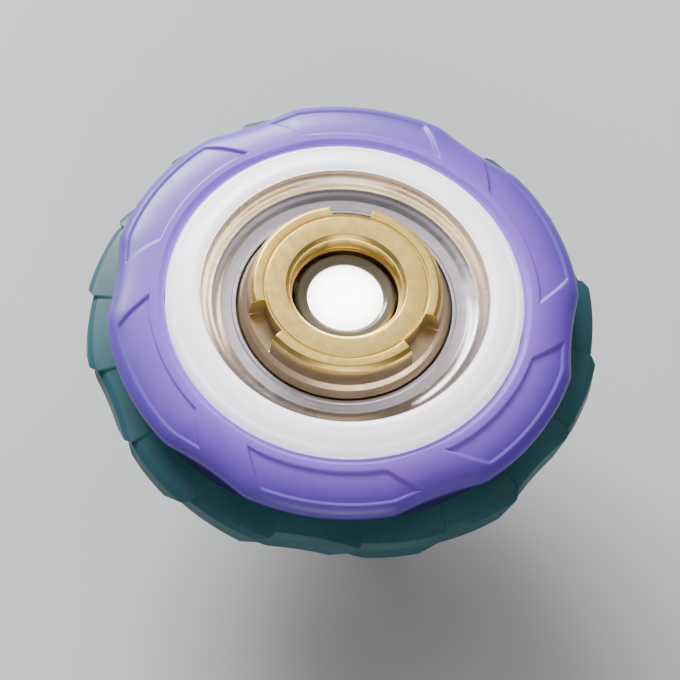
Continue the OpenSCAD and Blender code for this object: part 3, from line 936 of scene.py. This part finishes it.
def clicker():
    """The click ring: a sprung ring with three wide tabs and three rising ramps."""
    low, high = heights("click_ring")
    ring_in, ring_out, tab_out, thick = 5.2, 7.4, 9.0, 1.8
    rise = 1.5 / 55 * 67
    body = washer("click_ring_moulded", ring_in, ring_out, low, low + thick, 0.15, 0.15, 180)
    tabs = arcs(ring_out - 0.3, tab_out, 60, 80, low, low + thick - 0.6, edge=0.15)
    ramps = [ramp(ring_in + 0.3, ring_out - 0.3, low + thick - 0.3, high - rise, high, start, 67)
             for start in (4, 124, 244)]
    placed(fuse(body, tabs + ramps))


def ramp(r_in, r_out, base, low, high, start, arc, steps=34):
    """A block whose top climbs round the axis, with its edges rounded."""
    verts = []
    for i in range(steps + 1):
        x, y = polar(1, start + arc * i / steps)
        z = low + (high - low) * i / steps
        verts += [(r_in * x, r_in * y, base), (r_out * x, r_out * y, base),
                  (r_out * x, r_out * y, z), (r_in * x, r_in * y, z)]
    faces = [(i * 4 + k, i * 4 + (k + 1) % 4, i * 4 + 4 + (k + 1) % 4, i * 4 + 4 + k)
             for i in range(steps) for k in range(4)]
    faces += [(3, 2, 1, 0), tuple(steps * 4 + k for k in range(4))]
    return soften(make("ramp", verts, faces), 0.12)


# ---------- lamp capsule ----------

def cells():
    """Three button cells, each with a rolled edge, a crimped seal and a raised pole."""
    for node in ("battery_cell_1", "battery_cell_2", "battery_cell_3"):
        low, high, r = extent(node)
        placed(solid(node + "_can", [
            (0, low), (r - 1.2, low, 0.1), (r - 1.1, low + 0.03, 0.1), (r, low, 0.3),
            (r, high - 0.6, 0.25), (r - 0.55, high - 0.6, 0.08),
            (r - 0.62, high - 0.68, 0.03), (r - 0.78, high - 0.68, 0.03),
            (r - 0.85, high, 0.18), (0, high)], 120))


def sleeve():
    low, high, out = extent("battery_sleeve")
    placed(washer("battery_sleeve_film", out - 0.14, out, low, high, 0.03, 0.04))


def contacts():
    """The stamped contacts: the spider on the cells, the strip and the switch's two plates."""
    low, high = heights("positive_contact")
    disc = washer("positive_contact_stamped", 0.6, 3, low, high, 0.05, 0.06, 96)
    placed(cut(disc, arcs(1.35, 2.4, 60, 70, low - 1, high + 1, round_ends=True, step=4)))

    (x0, y0, z0), (x1, y1, z1) = corners("contact_strip")
    back = y0 + 0.75
    strip = box("contact_strip_bent", (x0, back, z0), (x1, back + 0.2, z1), 0.04)
    tabs = [box("tab", (x0, back + 0.05, z0), (x1, y1, z0 + 0.2), 0.04),
            box("tab", (x0, y0, z1 - 0.16), (x1, back + 0.15, z1), 0.04)]
    placed(fuse(strip, tabs))

    (x0, y0, z0), (x1, y1, z1) = corners("switch_contacts")
    middle = (z0 + z1) / 2
    plate = box("switch_contacts_stamped", (x0, y1 - 0.2, z0), (x1, y1, z1), 0.05)
    pin = solid("pin", [(0, 9.3), (0.3, 9.3, 0.1), (0.3, y1 - 0.1), (0, y1 - 0.1)], 32)
    fuse(plate, [lie_along_y(pin, middle)])
    inner = box("inner", (x0, y0, z0), (x1, y0 + 0.2, z1), 0.05)
    placed(join("switch_contacts_pair", [inner, plate]))


def electronics():
    """The round board with its pads and edge notch, its resistor and the lamp."""
    low, high, r = extent("led_board")
    board = washer("led_board_routed", 0.4, r, low, high, 0.04, 0.05, 120)
    notch = prism("notch", circle(0, -r - 0.15, 0.6, 40), low - 1, high + 1)
    placed(cut(board, [notch]))

    (x0, y0, z0), (x1, y1, z1) = corners("board_resistor")
    chip = box("board_resistor_moulded", (x0 + 0.02, y0 + 0.2, z0), (x1 - 0.02, y1 - 0.2, z1 - 0.03),
               0.02)
    caps = [box("cap", (x0, y0, z0), (x1, y0 + 0.32, z1), 0.05),
            box("cap", (x0, y1 - 0.32, z0), (x1, y1, z1), 0.05)]
    placed(fuse(chip, caps))

    low, high, flange = extent("led_lamp")
    r = flange - 0.25
    dome = [(r * cos(radians(a)), high - r + r * sin(radians(a))) for a in range(0, 91, 6)]
    dome[-1] = (0, high)
    skirt = rounded([(0, low), (flange, low, 0.08), (flange, low + 0.8, 0.1), (r, low + 0.8, 0.05)],
                    closed=False)
    lamp = turned("led_lamp_cast", skirt + dome, closed=False, count=96)
    flat = box("flat", (-flange - 1, flange - 0.2, low - 1), (flange + 1, flange + 1, low + 0.9))
    placed(cut(lamp, [flat]))


def slug():
    """The switch's steel slug, with turned rims."""
    low, high = corners("switch_weight")
    near, far, r = low.y, high.y, half("switch_weight")
    made = solid("switch_weight_turned", [
        (0, near), (r - 0.3, near, 0.05), (r, near + 0.15, 0.1), (r, near + 0.8, 0.03),
        (r - 0.07, near + 0.87, 0.03), (r - 0.07, far - 0.87, 0.03), (r, far - 0.8, 0.03),
        (r, far - 0.15, 0.1), (r - 0.3, far, 0.05), (0, far)], 72)
    placed(lie_along_y(made, (low.z + high.z) / 2))


def guide():
    """The clear plate that carries light outward, with fine rings moulded in its top."""
    low, high, out = extent("light_guide")
    grooves = []
    for i in range(7):
        at = 10.9 + 0.5 * i
        grooves += [(at, high), (at + 0.12, high - 0.07), (at + 0.24, high)]
    edges = [(5.4, high, 0.05), (5.4, low, 0.05), (out, low, 0.06), (out, high, 0.06)]
    plate = ring("light_guide_moulded", edges + grooves[::-1], 180)
    cuts = posts(*HUB_SCREWS, 1, low - 1, high + 1, 32)
    placed(cut(plate, cuts))


# ---------- bearing ----------

def raceway(r, z, ball_r, side, steps=10):
    """Points of the groove that the balls roll in, on the wall at radius r."""
    limit = acos(abs(BEARING_R - r) / ball_r)
    return [(BEARING_R - side * ball_r * cos(limit * (1 - 2 * k / steps)),
             z - side * ball_r * sin(limit * (1 - 2 * k / steps))) for k in range(steps + 1)]


def bearing():
    """The ball bearing: two ground races, seven balls and their cage."""
    low, high, outer = extent("bearing_outer_race")
    middle, ball_r = (low + high) / 2, 0.75
    inner = half("bearing_inner_race")
    wall = 0.8
    land = outer - wall
    placed(ring("bearing_inner_race_ground", [
        (inner - wall, high, 0.12), (inner - wall, low, 0.12), (inner, low, 0.05),
        *raceway(inner, middle, ball_r + 0.03, 1), (inner, high, 0.05)], 120))
    placed(ring("bearing_outer_race_ground", [
        (land, low, 0.05), (outer, low, 0.15), (outer, high, 0.15), (land, high, 0.05),
        *raceway(land, middle, ball_r + 0.03, -1)]))
    centres = [(x, y, middle) for x, y in places(BEARING_R, 0, 7)]
    placed(join("bearing_balls_ground", [ball("ball", p, ball_r) for p in centres]))
    low, high, out = extent("bearing_cage")
    cage = washer("bearing_cage_moulded", out - 0.66, out, low, high, 0.1, 0.1)
    cut(cage, [ball("pocket", p, ball_r + 0.05) for p in centres])
    placed(cage)


# ---------- tip ----------

def shaft():
    """The steel shaft, with its clip groove and ground ends."""
    low, high, r = extent("tip_shaft")
    groove = bottom("tip_clip")
    placed(solid("tip_shaft_ground", [
        (0, low), (r, low, 0.08), (r, groove, 0.03), (r - 0.3, groove, 0.03),
        (r - 0.3, groove + 0.4, 0.03), (r, groove + 0.4, 0.03), (r, high - 0.2, 0.08),
        (r - 0.2, high, 0.08), (0, high)], 120))


def clip():
    """The stamped E-clip in the shaft's groove."""
    (low, high), out = heights("tip_clip"), half("tip_clip", 1)
    mouth = degrees(asin(0.9 / out))
    plan = [polar(out, mouth + (360 - 2 * mouth) * i / 72) for i in range(73)]
    for i in range(72, -1, -1):
        angle = mouth * 1.35 + (360 - 2.7 * mouth) * i / 72
        tooth = max(window(-13, 13, 5, off_centre(angle, THIRDS, 60)), blend(300, 320, angle),
                    1 - blend(40, 60, angle))
        plan.append(polar(out - 0.45 - 0.6 * tooth, angle))
    placed(prism("tip_clip_stamped", plan, low, high, 0.05))


def foot():
    """The brass foot, with two turned grooves and a polished flat."""
    shoulder = 3.3
    neck, bore = 2.1, 1.5
    _, high, r = extent("tip_foot")
    grooves = [(r - depth, z + up, 0.04) for z in (1.3, 2.2)
               for depth, up in ((0, 0), (0.14, 0.12), (0.14, 0.25), (0, 0.37))]
    placed(solid("tip_foot_turned", [
        (0, 0), (r - 0.3, 0, 0.12), (r, 0.3, 0.15), *grooves,
        (r, shoulder, 0.2), (neck, shoulder + 1, 0.2), (neck, high, 0.08),
        (bore, high, 0.05), (bore, 2.3), (0, 2.3)]))


# ---------- screws and springs ----------

def screw(name, head_r, head_h, shank_r, length, z):
    """A domed screw pointing up, its head's top at z, with a cross recess and a thread."""
    pitch, thread, steps = 0.45, 0.1, 10
    root = shank_r - thread
    count = int((length - 0.9) / pitch) * steps

    def outline(angle):
        head = rounded([(0, z - head_h), (head_r * 0.72, z - head_h, 0.3),
                        (head_r * 0.96, z - head_h * 0.72, 0.25), (head_r, z - head_h * 0.2, 0.12),
                        (head_r, z, 0.04), (root, z, 0.05)], closed=False)
        shank = []
        for i in range(count + 1):
            crest = abs(((i / steps - angle / 360) % 1) - 0.5)
            fade = min(1, i / steps, (count - i) / steps)
            shank.append((root + thread * fade * max(0, 1 - crest * 4), z + 0.25 + pitch * i / steps))
        return head + shank + [(root * 0.6, z + length), (0, z + length)]

    made = turned(name, outline, closed=False, count=36)
    arm, blade = 0.8, 0.17
    quarter = [(arm, -blade), (arm, blade), (blade, blade)]
    plan = [(r * x - w * y, r * y + w * x) for x, y in places(1, 0, 4) for r, w in quarter]
    return cut(made, [prism("cross", plan, z - head_h - 0.5, z - head_h + 0.45)])


def screws(node, at, turn, count, head_r, shank_r, z):
    """Screws at even places from an angle on, each turned a little differently, as one piece."""
    first = screw(node + "_first", head_r, 0.95, shank_r, top(node) - z, z)
    copies = []
    for i, (x, y) in enumerate(places(at, turn, count)):
        copy = bpy.data.objects.new(node + "_copy", first.data.copy())
        spin = Matrix.Rotation(radians(turn + 360 / count * i + 37 * i), 4, "Z")
        copy.matrix_world = Matrix.Translation(Vector((x, y, 0)) * MM) @ spin
        copies.append(copy)
    bpy.data.objects.remove(first)
    placed(join(node + "_pan_head", copies))


def coil(name, r0, r1, wire, turn_count, low, high, steps=36, sides=12):
    """Round wire wound about Z, as open tube rings closed at both ends."""
    count = turn_count * steps
    verts = []
    for i in range(count + 1):
        a, share = tau * i / steps, i / count
        r = r0 + (r1 - r0) * share
        z = low + wire + (high - low - 2 * wire) * share
        for k in range(sides):
            b = tau * k / sides
            out = r + wire * cos(b)
            verts.append((out * cos(a), out * sin(a), z + wire * sin(b)))
    faces = [(i * sides + k, (i + 1) * sides + k, (i + 1) * sides + (k + 1) % sides,
              i * sides + (k + 1) % sides) for i in range(count) for k in range(sides)]
    faces += [tuple(range(sides)), tuple(range(count * sides + sides - 1, count * sides - 1, -1))]
    return make(name, verts, faces)


def lock_spring():
    low, high = heights("click_spring")
    wound = coil("click_spring_wound", 6.3, 6.3, 0.3, 4, low, high)
    finished(wound)
    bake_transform(wound)


def slider_spring():
    low, high = corners("switch_spring")
    middle = (low.z + high.z) / 2
    wound = lie_along_y(coil("switch_spring_wound", 0.7, 0.7, 0.12, 5, low.y, high.y, 24, 10), middle)
    finished(wound)
    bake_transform(wound)


def cell_spring():
    low, high = heights("battery_spring")
    placed(coil("battery_spring_wound", 3.2, 1.9, 0.2, 3, low, high))


# ---------- everything ----------

for build in (ring_shell, lit_ring, bowl, hub, guide, lower_frame, weight, casing, core, clicker, lens,
              collar, foot, shaft, clip, bearing, cells, sleeve, contacts, electronics, slug,
              lock_spring, slider_spring, cell_spring):
    build()
screws("ring_screws", *RING_SCREWS, 1.5, 0.7, frame_z + 1.1)
screws("base_screws", *BASE_SCREWS, 1.5, 0.8, base_top - 1.15)
screws("hub_screws", *HUB_SCREWS, 1.4, 0.8, frame_z + 4.15)


# ---------- studio ----------

MIDDLE = Vector((0, 0, 0.02))  # what the lights and the camera face, in metres


def floor():
    """A plain pale floor."""
    side = 3000
    made = make("floor", [(-side, -side, 0), (side, -side, 0), (side, side, 0), (-side, side, 0)],
                [(0, 1, 2, 3)])
    m = Material("floor_pale", Roughness=0.6)
    m.colour(m.drift(6, 3, (0.56, 0.56, 0.57), (0.6, 0.6, 0.605)))
    made.data.materials.append(m.made)


def area_light(name, place, size, power, colour=(1, 1, 1)):
    """A soft light that faces the middle of the top."""
    light = bpy.data.lights.new(name, "AREA")
    light.shape = "RECTANGLE"
    light.size, light.size_y = size
    light.energy = power
    light.color = colour
    obj = linked(name, light)
    obj.location = place
    aim = MIDDLE - Vector(place)
    obj.rotation_euler = aim.to_track_quat("-Z", "Y").to_euler()


def studio():
    floor()
    area_light("window", (-0.35, 0.65, 0.42), (0.6, 0.3), 19, (0.97, 0.98, 1.0))
    area_light("overhead", (0.04, 0.3, 0.75), (0.8, 0.5), 1.1, (1.0, 0.97, 0.98))
    area_light("fill", (0.1, -0.7, 0.4), (0.6, 0.4), 2.6, (1.0, 0.98, 0.95))
    world = bpy.data.worlds.new("studio")
    world.use_nodes = True
    sky = world.node_tree.nodes["Background"].inputs
    sky["Color"].default_value = (0.8, 0.82, 0.86, 1)
    sky["Strength"].default_value = 0.2
    bpy.context.scene.world = world


def camera():
    """From the front and well above, rolled as the leaning top appears."""
    elevation, roll, distance = radians(60), radians(7), 0.45
    back = Vector((0, -cos(elevation), sin(elevation)))
    lens_data = bpy.data.cameras.new("camera")
    lens_data.lens = 232
    lens_data.clip_start = 0.01
    obj = linked("camera", lens_data)
    obj.location = MIDDLE + back * distance
    upright = (-back).to_track_quat("-Z", "Y")
    obj.rotation_euler = (upright.to_matrix() @ Matrix.Rotation(roll, 3, "Z")).to_euler()
    bpy.context.scene.camera = obj


studio()
camera()
